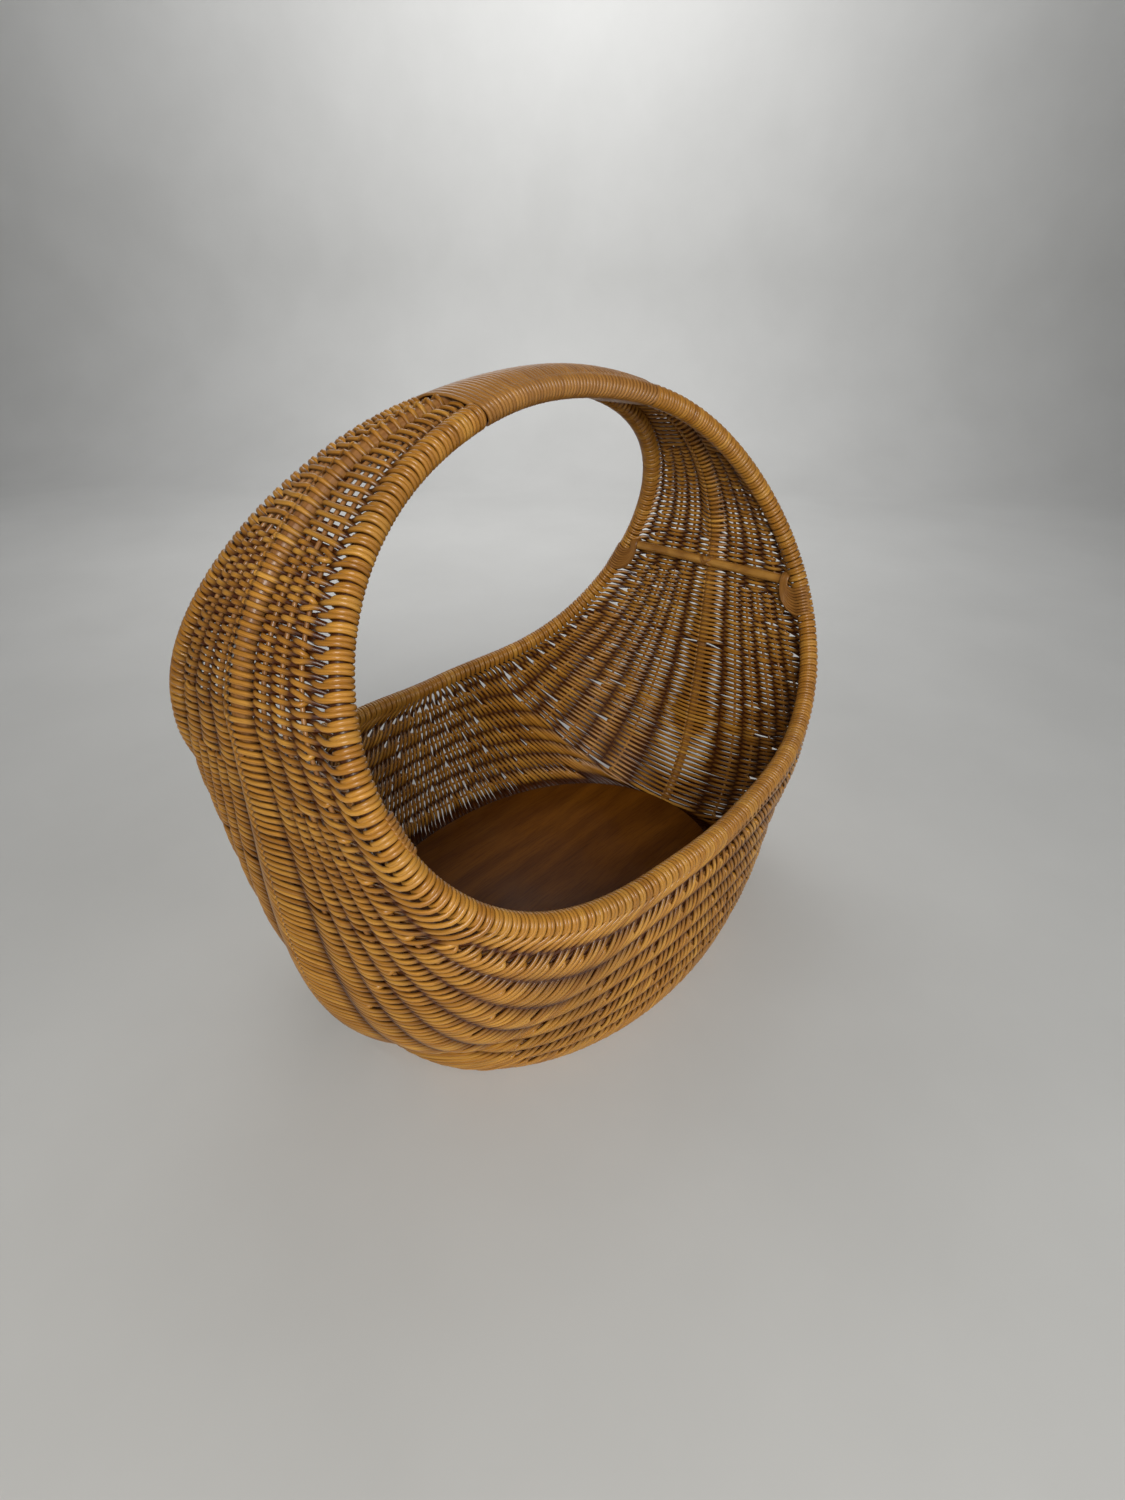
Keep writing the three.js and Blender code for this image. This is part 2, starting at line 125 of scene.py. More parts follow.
def hoop_depth(angle):
    waves = ((1, -113.5), (2, 4.7), (3, 11.7), (4, -3.8), (5, -2.5))
    return 122.8 + sum(size * np.cos(count * angle) for count, size in waves)


def hoop_point(angle):
    """The front hoop's middle line. The formula mirrors itself past 180 degrees."""
    reach = hoop_radius(angle)
    height = HOOP_CENTRE_HEIGHT + reach * np.cos(angle)
    return np.stack([reach * np.sin(angle), -hoop_depth(angle), height], -1)


def base_point(turn, inset, height):
    x = (BASE_HALF_LENGTH - inset) * power(np.cos(turn), 2 / BASE_ROUNDNESS)
    y = -(BASE_HALF_WIDTH - inset) * power(np.sin(turn), 2 / BASE_ROUNDNESS)
    return np.stack([x, y, height + 0 * turn], -1)


def keel_point(angle):
    """The keel pole's middle line, for angles from 0 down to the base corner."""
    leaving = smooth((angle - np.radians(28)) / np.radians(30))
    upper = hoop_radius(angle) + HANDLE_CROWN + (KEEL_STANDOFF - HANDLE_CROWN) * leaving
    sideways = np.abs(np.sin(angle) / END_HALF_LENGTH) ** END_SQUARENESS
    down = np.abs(np.cos(angle) / END_DROP_REACH) ** END_SQUARENESS
    lower = (sideways + down) ** (-1 / END_SQUARENESS)
    reach = np.where(angle <= np.pi / 2, upper, lower)
    height = HOOP_CENTRE_HEIGHT + reach * np.cos(angle)
    return np.stack([reach * np.sin(angle), 0 * angle, height], -1)


def wall_end(angle):
    turn = np.clip((angle - BASE_CORNER) / (np.pi - BASE_CORNER), 0, 1) * np.pi / 2
    on_keel = (angle <= BASE_CORNER)[..., None]
    return np.where(on_keel, keel_point(angle), base_point(turn, 0, BASE_RING_HEIGHT))


def section(angle, turn):
    """A quarter of a rounded arch from the hoop to the wall's end."""
    low = smooth((angle - np.radians(110)) / np.radians(50))
    start = hoop_point(angle)
    end = wall_end(angle)
    corner = np.stack([end[..., 0], start[..., 1] - WALL_BULGE * low, end[..., 2]], -1)
    fullness = 2.3 - 0.55 * low
    away = (corner - end) * power(np.cos(turn), 2 / fullness)[..., None]
    along = (corner - start) * power(np.sin(turn), 2 / fullness)[..., None]
    return start + end - corner + away + along


class Wall:
    """The middle surface of the front wall, sampled once: places on it, and which way is out."""

    def __init__(self, angle_steps=720, down_steps=96):
        self.angles = np.linspace(0, np.pi, angle_steps + 1)
        angle, turn = np.meshgrid(self.angles, np.linspace(0, np.pi / 2, down_steps + 1), indexing="ij")
        raw = section(angle, turn)
        steps = np.linalg.norm(np.diff(raw, axis=1), axis=2)
        run = np.concatenate([np.zeros((len(raw), 1)), np.cumsum(steps, 1)], 1)
        self.length = run[:, -1]
        shares = np.linspace(0, 1, down_steps + 1)
        self.points = np.empty_like(raw)
        for i, row in enumerate(raw):
            for k in range(3):
                self.points[i, :, k] = np.interp(shares * run[i, -1], run[i], row[:, k])
        round_way = np.gradient(self.points, axis=0)
        down_way = np.gradient(self.points, axis=1)
        out = unit(np.cross(down_way, round_way))
        flip = np.sum(out * (self.points - INSIDE), -1, keepdims=True) < 0
        self.out = np.where(flip, -out, out)
        self.out[-1, :, 0] = 0
        self.out[0, :, 0] = 0
        self.down = unit(down_way)

    def long(self, angle):
        """Length of the wall at this angle, from the hoop's middle line to the keel's or base's."""
        return np.interp(folded(angle), self.angles, self.length)

    def woven(self, angle):
        """Length of the woven part: from the hoop's side to the keel's or the base ring's."""
        return self.long(angle) - HOOP_RADIUS - KEEL_RADIUS

    def at(self, angle, distance):
        """Point, way out and way down at this angle and distance from the hoop's middle line."""
        angle = np.asarray(angle, float)
        mirror = np.where(angle > np.pi, -1.0, 1.0)
        x = np.clip(folded(angle), 0, np.pi) / np.pi * (len(self.angles) - 1)
        share = distance / self.long(angle)
        y = np.clip(share, 0, 1) * (self.points.shape[1] - 1)
        i = np.minimum(x.astype(int), len(self.angles) - 2)
        j = np.minimum(y.astype(int), self.points.shape[1] - 2)
        x_part, y_part = (x - i)[..., None], (y - j)[..., None]

        def mix(grid):
            top = grid[i, j] * (1 - x_part) + grid[i + 1, j] * x_part
            low = grid[i, j + 1] * (1 - x_part) + grid[i + 1, j + 1] * x_part
            value = top * (1 - y_part) + low * y_part
            value[..., 0] *= mirror
            return value

        point, out, down = mix(self.points), unit(mix(self.out)), unit(mix(self.down))
        beyond = (distance - np.clip(share, 0, 1) * self.long(angle))[..., None]
        return point + down * beyond, out, down

    def distance(self, angle, place):
        """Place 0 is at the hoop's side and place 1 at the keel's or the base ring's."""
        return HOOP_RADIUS + self.woven(angle) * place


wall = Wall()


# ---- Materials ----
def set_inputs(node, values):
    for key, value in values.items():
        node.inputs[key].default_value = value


class Look:
    """A node material that is built from a few plain steps."""

    def __init__(self, name):
        self.material = bpy.data.materials.new(name)
        self.material.use_nodes = True
        self.tree = self.material.node_tree
        self.shader = self.tree.nodes["Principled BSDF"]

    def node(self, kind, **settings):
        made = self.tree.nodes.new(kind)
        for key, value in settings.items():
            setattr(made, key, value)
        return made

    def link(self, source, target):
        self.tree.links.new(source, target)

    def attribute(self, name, output="Fac"):
        return self.node("ShaderNodeAttribute", attribute_name=name).outputs[output]

    def place(self):
        return self.node("ShaderNodeTexCoord").outputs["Object"]

    def stretch(self, vector, scale):
        made = self.node("ShaderNodeMapping")
        set_inputs(made, {"Scale": scale})
        self.link(vector, made.inputs["Vector"])
        return made.outputs["Vector"]

    def noise(self, vector, scale, detail=4, rough=0.55, warp=0.0):
        made = self.node("ShaderNodeTexNoise")
        set_inputs(made, {"Scale": scale, "Detail": detail, "Roughness": rough, "Distortion": warp})
        self.link(vector, made.inputs["Vector"])
        return made.outputs["Fac"]

    def ramp(self, factor, stops):
        made = self.node("ShaderNodeValToRGB")
        elements = made.color_ramp.elements
        while len(elements) < len(stops):
            elements.new(0.5)
        for element, (at, colour) in zip(elements, stops):
            element.position = at
            element.color = (*colour, 1)
        self.link(factor, made.inputs["Fac"])
        return made.outputs["Color"]

    def grey(self, factor, low, high, from_low=0.0, from_high=1.0):
        made = self.node("ShaderNodeMapRange")
        set_inputs(made, {"From Min": from_low, "From Max": from_high, "To Min": low, "To Max": high})
        self.link(factor, made.inputs["Value"])
        return made.outputs["Result"]

    def mix(self, first, second, factor, blend="MIX"):
        made = self.node("ShaderNodeMix", data_type="RGBA", blend_type=blend)
        for socket, value in ((made.inputs[0], factor), (made.inputs[6], first), (made.inputs[7], second)):
            if hasattr(value, "links"):
                self.link(value, socket)
            else:
                socket.default_value = value if isinstance(value, float) else (*value, 1)
        return made.outputs[2]

    def bump(self, height, distance, strength=1.0, under=None):
        made = self.node("ShaderNodeBump")
        set_inputs(made, {"Distance": distance, "Strength": strength})
        self.link(height, made.inputs["Height"])
        if under is not None:
            self.link(under, made.inputs["Normal"])
        return made.outputs["Normal"]

    def shade(self, colour, with_ramp, strength):
        """Multiplies the colour by a ramp, at the given strength."""
        return self.mix(colour, with_ramp, strength, "MULTIPLY")

    def finish(self, colour, roughness, normal, **fixed):
        """Connects the shader. Other inputs are fixed values, named by their labels in lower case."""
        self.link(colour, self.shader.inputs["Base Color"])
        self.link(roughness, self.shader.inputs["Roughness"])
        self.link(normal, self.shader.inputs["Normal"])
        labels = {key: key.replace("_", " ").title().replace("Ior", "IOR") for key in fixed}
        set_inputs(self.shader, {labels[key]: value for key, value in fixed.items()})
        return self.material


def cane_look(name, tones, painted_groove_shade, ageing, gloss):
    """Varnished cane: strands of different tones, long fibres, painted shade in the grooves, patches of
    age.
    """
    look = Look(name)
    grain = look.attribute("grain", "Vector")
    tone = look.ramp(look.attribute("tint"), tones)
    fibres = look.noise(look.stretch(grain, (900, 900, 26)), 1.0, detail=5, rough=0.6)
    along = look.noise(look.stretch(grain, (60, 60, 14)), 1.0, detail=3)
    patches = look.noise(look.place(), 9.0, detail=4, warp=0.4)
    fine_streaks = look.ramp(fibres, [(0.3, (0.55, 0.45, 0.36)), (0.68, (1.22, 1.2, 1.12))])
    colour = look.shade(tone, fine_streaks, 0.75)
    long_streaks = look.ramp(along, [(0.34, (0.72, 0.62, 0.5)), (0.66, (1.15, 1.12, 1.05))])
    colour = look.shade(colour, long_streaks, 0.7)
    colour = look.mix(colour, ageing, look.grey(patches, 0.0, 0.55, 0.46, 0.72))
    # Painted shade: darker on the strands' sides and where they lie recessed.
    painted_groove_shading = look.ramp(look.attribute("crown_shade"), [(0.2, painted_groove_shade), (0.82, (1, 1, 1))])
    colour = look.shade(colour, painted_groove_shading, 1.0)
    roughness = look.grey(fibres, gloss - 0.06, gloss + 0.16, 0.3, 0.7)
    normal = look.bump(fibres, 0.00022, 0.6)
    varnish = {"coat_weight": 0.2, "coat_roughness": 0.2, "specular_ior_level": 0.45}
    return look.finish(colour, roughness, normal, **varnish)


def pole_look(name, tones, gloss, coat):
    """A peeled pole: long grain, faint bands and worn, darker patches."""
    look = Look(name)
    grain = look.attribute("grain", "Vector")
    fibres = look.noise(look.stretch(grain, (420, 420, 9)), 1.0, detail=6, rough=0.62)
    bands = look.noise(look.stretch(grain, (30, 30, 22)), 1.0, detail=3, warp=0.6)
    colour = look.ramp(bands, tones)
    streaks = look.ramp(fibres, [(0.3, (0.6, 0.5, 0.4)), (0.7, (1.18, 1.15, 1.1))])
    colour = look.shade(colour, streaks, 0.7)
    roughness = look.grey(fibres, gloss - 0.05, gloss + 0.14, 0.3, 0.7)
    normal = look.bump(fibres, 0.0003, 0.5)
    return look.finish(colour, roughness, normal, coat_weight=coat, coat_roughness=0.15)


def board_look():
    """Stained plywood under worn varnish: long wavy grain, pores, scuffs and duller patches."""
    look = Look("stained_varnished_board")
    place = look.place()
    figure = look.noise(look.stretch(place, (1.6, 9.5, 9.5)), 1.0, detail=5, warp=1.1)
    rings = look.node("ShaderNodeTexWave", wave_type="BANDS", bands_direction="Y")
    set_inputs(rings, {"Scale": 7.0, "Distortion": 9.0, "Detail": 3.0, "Detail Scale": 1.2})
    look.link(look.stretch(place, (0.35, 1, 1)), rings.inputs["Vector"])
    pores = look.noise(look.stretch(place, (34, 760, 760)), 1.0, detail=3)
    dull = look.noise(place, 5.0, detail=5, warp=0.8)
    scuffs = look.noise(look.stretch(place, (90, 420, 90)), 1.0, detail=2, warp=2.5)
    stain = [(0.3, (0.1, 0.031, 0.002)), (0.52, (0.165, 0.055, 0.0035)), (0.74, (0.23, 0.085, 0.006))]
    colour = look.ramp(figure, stain)
    growth = look.ramp(rings.outputs["Fac"], [(0.15, (0.72, 0.64, 0.58)), (0.8, (1.1, 1.08, 1.05))])
    colour = look.shade(colour, growth, 0.6)
    open_pores = look.ramp(pores, [(0.36, (0.55, 0.48, 0.42)), (0.52, (1, 1, 1))])
    colour = look.shade(colour, open_pores, 0.7)
    colour = look.mix(colour, (0.2, 0.095, 0.025), look.grey(dull, 0.0, 0.35, 0.52, 0.78))
    rough = look.mix((0.34, 0.34, 0.34), (0.62, 0.62, 0.62), look.grey(dull, 0.0, 1.0, 0.38, 0.7))
    rough = look.mix(rough, (0.75, 0.75, 0.75), look.grey(scuffs, 0.0, 0.5, 0.66, 0.74))
    normal = look.bump(pores, 0.00012, 0.6)
    normal = look.bump(figure, 0.0006, 0.35, under=normal)
    worn_varnish = {"coat_weight": 0.03, "coat_roughness": 0.35, "specular_ior_level": 0.15}
    return look.finish(colour, rough, normal, **worn_varnish)


# Each groove colour below is painted shade, laid on the strands' sides and recessed parts.
CANE = cane_look(
    "varnished_cane_weave",
    [(0.0, (0.42, 0.19, 0.024)), (0.35, (0.48, 0.225, 0.03)), (0.7, (0.53, 0.26, 0.038)),
     (1.0, (0.6, 0.32, 0.055))],
    painted_groove_shade=(0.14, 0.07, 0.022), ageing=(0.26, 0.11, 0.014), gloss=0.34)
WRAPPED = cane_look(
    "varnished_cane_winding",
    [(0.0, (0.31, 0.14, 0.027)), (0.5, (0.36, 0.165, 0.033)), (1.0, (0.42, 0.205, 0.045))],
    painted_groove_shade=(0.25, 0.15, 0.07), ageing=(0.18, 0.075, 0.016), gloss=0.38)
RIB = pole_look(
    "varnished_rib_pole",
    [(0.35, (0.24, 0.1, 0.028)), (0.55, (0.36, 0.165, 0.045)), (0.72, (0.46, 0.23, 0.07))], 0.4, 0.2)
BARE = pole_look(
    "bare_rattan_pole",
    [(0.35, (0.34, 0.155, 0.03)), (0.55, (0.5, 0.25, 0.05)), (0.72, (0.62, 0.34, 0.085))], 0.28, 0.35)
BOARD = board_look()


def hoop_frame(angle):
    """The hoop's middle, and the ways along it, down the wall and out, all square to each other."""
    step = 0.002
    along = unit(hoop_point(angle + step) - hoop_point(angle - step))
    _, out, down = wall.at(angle, np.full(np.shape(angle), 4.0))
    down = unit(down - along * np.sum(down * along, -1, keepdims=True))
    across = np.cross(along, down)
    across *= np.sign(np.sum(across * out, -1, keepdims=True))
    return hoop_point(angle), along, down, across


# ---- Meshes from swept strands ----
class Strands:
    """Gathers closed tubes and makes one mesh of them."""

    def __init__(self):
        self.points, self.quads, self.caps = [], [], []
        self.grain, self.tint, self.crown_shade = [], [], []
        self.total = 0

    def add(self, path, ref, radius, sides=STRAND_SIDES, closed=False, flat=1.0, tint=None,
            out=None, depth=1.0):
        """Sweeps a round section along path. ref is the way its first side faces, flat its
        thickness that way as a share of its width, and out and depth say how far each point
        stands proud: the material paints shade on a strand's side away from out, and more where depth is
        low."""
        path = np.asarray(path, float)
        count = len(path)
        if closed:
            along = np.roll(path, -1, 0) - np.roll(path, 1, 0)
        else:
            along = np.gradient(path, axis=0)
        along = unit(along)
        ref = np.broadcast_to(ref, path.shape)
        across = unit(np.cross(along, ref))
        face = np.cross(across, along)
        turn = np.arange(sides) / sides * 2 * np.pi
        radius = np.broadcast_to(radius, count)[:, None, None]
        face_part = face[:, None] * np.cos(turn)[None, :, None]
        across_part = across[:, None] * np.sin(turn)[None, :, None]
        flat = np.broadcast_to(flat, count)[:, None, None]
        rings = path[:, None] + (face_part * flat + across_part) * radius
        self.points.append(rings.reshape(-1, 3))
        spans = count if closed else count - 1
        i = np.arange(spans)[:, None]
        j = np.arange(sides)[None, :]
        here, there = i * sides, ((i + 1) % count) * sides
        k = (j + 1) % sides
        quads = np.stack([here + j, here + k, there + k, there + j], -1).reshape(-1, 4)
        self.quads.append(quads[:, ::-1] + self.total)
        if not closed:
            self.caps.append(np.arange(sides) + self.total)
            self.caps.append(np.arange(sides)[::-1] + self.total + (count - 1) * sides)
        run = np.concatenate([[0], np.cumsum(np.linalg.norm(np.diff(path, axis=0), axis=1))])
        tint = RANDOM.random() if tint is None else tint
        reach = np.broadcast_to(radius, (count, sides, 1))[..., 0]
        # Each strand starts at its own far place in the grain, so that no two look alike.
        length = np.broadcast_to((run + tint * GRAIN_SHIFT)[:, None], (count, sides))
        grain = np.stack([np.cos(turn)[None] * reach, np.sin(turn)[None] * reach, length], -1)
        self.grain.append(grain.reshape(-1, 3) * MM)
        self.tint.append(np.full(count * sides, tint))
        out = ref if out is None else out
        normal = face_part + across_part
        # Painted shade for the material: lowest on the side facing away from out, and lower still where
        # depth is small.
        proud = 0.5 + 0.5 * np.sum(normal * np.broadcast_to(out, path.shape)[:, None], -1)
        depth = np.broadcast_to(depth, count)[:, None]
        self.crown_shade.append((proud * depth).reshape(-1))
        self.total += count * sides

    def make(self, name, material, slot, replaces=()):
        points = np.concatenate(self.points) * MM
        quads = np.concatenate(self.quads)
        corners = quads.reshape(-1)
        starts = np.arange(len(quads)) * 4
        if self.caps:
            sizes = np.array([len(cap) for cap in self.caps])
            cap_starts = len(corners) + np.concatenate([[0], np.cumsum(sizes)[:-1]])
            corners = np.concatenate([corners, *self.caps])
            starts = np.concatenate([starts, cap_starts])
        mesh = bpy.data.meshes.new(name)
        mesh.vertices.add(len(points))
        mesh.vertices.foreach_set("co", points.astype(np.float32).ravel())
        mesh.loops.add(len(corners))
        mesh.loops.foreach_set("vertex_index", corners.astype(np.int32))
        mesh.polygons.add(len(starts))
        mesh.polygons.foreach_set("loop_start", starts.astype(np.int32))
        smooth_faces = np.ones(len(starts), bool)
        smooth_faces[len(quads):] = False
        mesh.polygons.foreach_set("use_smooth", smooth_faces)
        for label, kind, field, values in (
            ("grain", "FLOAT_VECTOR", "vector", self.grain),
            ("tint", "FLOAT", "value", self.tint),
            ("crown_shade", "FLOAT", "value", self.crown_shade),
        ):
            layer = mesh.attributes.new(label, kind, "POINT")
            layer.data.foreach_set(field, np.concatenate(values).astype(np.float32).ravel())
        mesh.update(calc_edges=True)
        return finish_piece(name, mesh, material, replaces)


def finish_piece(name, mesh, material, replaces=()):
    mesh.materials.append(material)
    piece = bpy.data.objects.new(name, mesh)
    bpy.context.scene.collection.objects.link(piece)
    if replaces:
        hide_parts(*replaces)
    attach(piece, "root")
    return piece


# ---- Where the weavers run ----
def row_pitch(angle, level):
    """Distance between neighbouring rows: close on the ribs of the ends, looser on the low walls."""
    turned = np.degrees(folded(angle))
    corner = np.exp(-(((turned - 124) / 17) ** 2))
    at_rim = RIM_PITCH - 0.25 * corner - 0.15 * smooth((turned - 130) / 30)
    slanting = np.exp(-(((turned - 156) / 12) ** 2))  # rows slant here, which brings them closer
    loosened = 0.14 * smooth((turned - 132) / 22) + 0.16 * slanting
    packed = PACKING + loosened * (1 if level < LEVELS - 1 else 0.35)  # close again at the base ring
    return at_rim * (packed if level else 1)


def has_rib(level, angle):
    return level in MAIN_RIBS or np.degrees(folded(angle)) > FILLER_STARTS[level]


def is_narrow(angle):
    return wall.woven(angle) < NARROW_WALL


class Row:
    """One weaver's course: its angle at each level, from the one that it starts at."""

    def __init__(self, start, rank):
        self.start = start
        self.angles = []
        self.sign = 1 if rank % 2 == 0 else -1
        self.tint = RANDOM.random()


def lay_rows():
    """Lays rows from the rim, and adds pairs that turn round a rib where the wall widens.

    Returns the rows in order at each level.
    """
    evening_rounds = 14
    grid = np.linspace(WEAVE_START, 2 * np.pi - WEAVE_START, 2400)
    middle = (grid[1:] + grid[:-1]) / 2
    lines = [wall.at(grid, wall.distance(grid, level / LEVELS))[0] for level in range(LEVELS + 1)]
    gaps = [np.linalg.norm(np.diff(line, axis=0), axis=1) for line in lines]
    counts = []
    for level in range(LEVELS + 1):
        widest = np.maximum(gaps[level], gaps[min(level + 1, LEVELS)]) if level else gaps[0]
        steps = widest / row_pitch(middle, level)
        counts.append(np.concatenate([[0], np.cumsum(steps)]))
    total = 2 * int(round(counts[0][-1] / 2))
    order = [Row(0, rank) for rank in range(total)]
    place = (np.arange(total) + 0.5) / total * counts[0][-1]
    orders = []
    for level in range(LEVELS + 1):
        if level:
            place = np.interp([row.angles[-1] for row in order], grid, counts[level])
            order, place = add_pairs(order, place, level, grid, counts[level])
            for _ in range(evening_rounds):
                place[1:-1] = place[1:-1] / 2 + (place[:-2] + place[2:]) / 4
        for row, angle in zip(order, np.interp(place, counts[level], grid)):
            row.angles.append(angle)
        orders.append(list(order))
    return orders


def add_pairs(order, place, level, grid, count):
    """Adds a pair where the gap is wide and enough room for it has gathered in the gaps so far."""
    if level == LEVELS:
        return order, place
    least_spare, most_spare = -0.6, 2.1
    enough_spare, wide_gap = 1.1, 1.08
    new_order, new_place = [order[0]], [place[0]]
    spare = 0.0
    for rank in range(1, len(order)):
        gap = place[rank] - place[rank - 1]
        spare = min(max(spare + gap - 1, least_spare), most_spare)
        angle = np.interp(place[rank], count, grid)
        roomy = spare > enough_spare and gap > wide_gap
        if roomy and has_rib(level, angle) and not is_narrow(angle):
            for share in (1 / 3, 2 / 3):
                new_order.append(Row(level, len(new_order)))
                new_place.append(place[rank - 1] + gap * share)
            spare -= 2
        new_order.append(order[rank])
        new_place.append(place[rank])
    return new_order, np.array(new_place)


def course_angles(row, place):
    """The row's angle at any place down the wall, by a smooth curve through its levels."""
    known = np.array(row.angles)
    x = np.clip(place * LEVELS - row.start, 0, len(known) - 1)
    i = np.minimum(x.astype(int), len(known) - 2)
    t = x - i
    before, after = known[np.maximum(i - 1, 0)], known[np.minimum(i + 2, len(known) - 1)]
    here, there = known[i], known[i + 1]
    return 0.5 * (
        2 * here + (there - before) * t + (2 * before - 5 * here + 4 * there - after) * t ** 2
        + (3 * here - before - 3 * there + after) * t ** 3
    )


def crossings(row):
    """Places and heights of the weaver over each rib that it crosses, and over its end."""
    long = wall.woven(row.angles[0])
    sign = row.sign
    places, heights = [], []
    if row.start == 0:
        places.append(-HOOP_RADIUS / long)
        heights.append(sign * RIM_RING)
    bundled = row.start == 0 and is_narrow(row.angles[0])
    for level in range(1, LEVELS):
        angle = row.angles[max(level - row.start, 0)]
        if bundled or (level != row.start and not has_rib(level, angle)):
            continue
        sign = -sign
        if level >= row.start:
            places.append(level / LEVELS)
            heights.append(sign * LIFT)
    if bundled:
        sign = -sign
        places += [MAIN_RIBS[0] / LEVELS, MAIN_RIBS[-1] / LEVELS]
        heights += [sign * LIFT, sign * LIFT]
    return places, heights, -sign


def half_course(row):
    """A front weaver from the rim, or from the rib that it turns round, to the keel or base."""
    places, heights, sign = crossings(row)
    last = row.angles[-1]
    long = wall.woven(last)
    on_keel = last <= BASE_CORNER or last >= 2 * np.pi - BASE_CORNER
    if on_keel:
        end = 1 + KEEL_RADIUS / long
        places.append(end)
        heights.append(sign * (KEEL_RADIUS + STRAND))
    else:
        end = 1 + (KEEL_RADIUS + BASE_RING_INSET) / long
        places += [end - BASE_RING_RADIUS / long, end]
        heights += [BASE_RING_RADIUS + STRAND] * 2
    steps = max(int((end - places[0]) * long / POINT_SPACING), 5)
    place = np.linspace(places[0], end, steps + 1)
    knot = np.clip(np.searchsorted(places, place, side="right") - 1, 0, len(places) - 2)
    low, high = np.take(places, knot), np.take(places, knot + 1)
    t = smooth((place - low) / (high - low))
    height = np.take(heights, knot) * (1 - t) + np.take(heights, knot + 1) * t
    wander = RANDOM.normal(0, WANDER, 3)
    angle = course_angles(row, place)
    inner = smooth(place * 6) * smooth((end - place) * 6)
    height = height * (1 + UNEVENNESS * (RANDOM.random() - 0.5) * inner)
    slow, quick = np.sin(place * 4), np.sin(place * 9 + wander[2] * 900)
    angle = angle + inner * (wander[0] * slow + wander[1] * quick)
    point, out, down = wall.at(angle, wall.distance(angle, place))
    if row.start == 0:
        middle, _, ring_down, ring_out = hoop_frame(angle)
        away = wall.distance(angle, place)[:, None]
        near = 1 - smooth((away - 1) / RIM_BLEND)
        point = point * (1 - near) + (middle + ring_down * away) * near
        out = unit(out * (1 - near) + ring_out * near)
    path = point + out * height[:, None]
    path[:, 2] = np.maximum(path[:, 2], STRAND * 1.05)  # nothing goes under the ground
    if on_keel:
        path[-1, 1] = 0
    # Painted shade: a weaver is darker where it passes the middle of the wall between ribs, and lighter
    # where it stands over a rib.
    depth = 0.25 + 0.75 * np.minimum(np.abs(height) / LIFT, 1)
    return path, out, np.sign(height)[:, None] * out, depth


def turn_round(centre_of, start, end, radius, turns, steps):
    """A strand round a pole, from outside it at one angle to inside it at another."""
    lead = 0.13  # share of the way at each end where it only turns and doesn't move along
    theta = np.linspace(np.pi / 2, np.pi / 2 + turns * 2 * np.pi, steps + 1)
    share = np.clip((np.arange(steps + 1) / steps - lead) / (1 - 2 * lead), 0, 1)
    middle, _, down, out = centre_of(start + (end - start) * share)
    facing = down * np.cos(theta)[:, None] + out * np.sin(theta)[:, None]
    return middle + facing * radius, facing


def rib_frame(level):
    def frame_at(angle):
        point, out, down = wall.at(angle, wall.distance(angle, level / LEVELS))
        return point, None, down, out
    return frame_at


def join_pair(first, second, level):
    """One strand down `second`, back round the rim or a rib, and down `first`.

    Also returns where it is pulled tight round the rim.
    """
    starts_outside = crossings(first)[1][0] > 0
    outer, inner = (first, second) if starts_outside else (second, first)
    outer_angle = outer.angles[level - outer.start]
    inner_angle = inner.angles[level - inner.start]
    if level == 0:
        centre_of, radius, turns, steps = hoop_frame, RIM_RING, RIM_TURNS, RIM_TURN_STEPS
    else:
        centre_of, radius, turns, steps = rib_frame(level), LIFT, 0.5, RIB_TURN_STEPS
    bend, facing = turn_round(centre_of, outer_angle, inner_angle, radius, turns, steps)
    outer_path, outer_out, outer_proud, outer_depth = half_course(outer)
    inner_path, inner_out, inner_proud, inner_depth = half_course(inner)
    path = np.concatenate([outer_path[:0:-1], bend, inner_path[1:]])
    ref = np.concatenate([outer_out[:0:-1], facing, -inner_out[1:]])
    proud = np.concatenate([outer_proud[:0:-1], facing, inner_proud[1:]])
    depth = np.concatenate([outer_depth[:0:-1], np.ones(len(bend)), inner_depth[1:]])
    on_rim = np.full(len(bend), float(level == 0))
    wound = np.concatenate([np.zeros(len(outer_path) - 1), on_rim, np.zeros(len(inner_path) - 1)])
    blend = np.ones(5) / 5
    return path, ref, proud, depth, np.convolve(wound, blend, "same")


MIRROR_Y = np.array([1.0, -1.0, 1.0])


def weave(orders):
    """Fills six pieces: two ends and a low wall, at the front and at the back."""
    pieces = {}
    for level, order in enumerate(orders[:LEVELS]):
        starting = [row for row in order if row.start == level]
        for first, second in zip(starting[::2], starting[1::2]):
            angle = (first.angles[0] + second.angles[0]) / 2
            zone = "wall"
            if abs(first.angles[-1] - np.pi) > np.pi - BASE_CORNER:
                zone = "right_end" if angle < np.pi else "left_end"
            for side in ("front", "back"):
                path, ref, proud, depth, wound = join_pair(first, second, level)
                if side == "back":
                    path, ref, proud = path * MIRROR_Y, ref * MIRROR_Y, proud * MIRROR_Y
                strands = pieces.setdefault((zone, side), Strands())
                radius = STRAND * STRAND_WIDTH * (1 + WIDTH_SPREAD * (first.tint - 0.5))
                flat = STRAND_FLATNESS + RIM_ROUNDING * wound
                strands.add(path, ref, radius, flat=flat, tint=first.tint, out=proud, depth=depth)
    return pieces


def rib_taper(angle, start):
    """Ribs are shaved thin towards their tips."""
    tip, body = 0.45, 0.55
    return tip + body * smooth((folded(angle) - start) / np.radians(9))


# ---- Poles ----
def pole(name, path, radius, material, slot, ref, replaces, sides=12, closed=False, depth=0.6):
    strands = Strands()
    strands.add(path, ref, radius, sides=sides, closed=closed, depth=depth)
    return strands.make(name, material, slot, replaces)


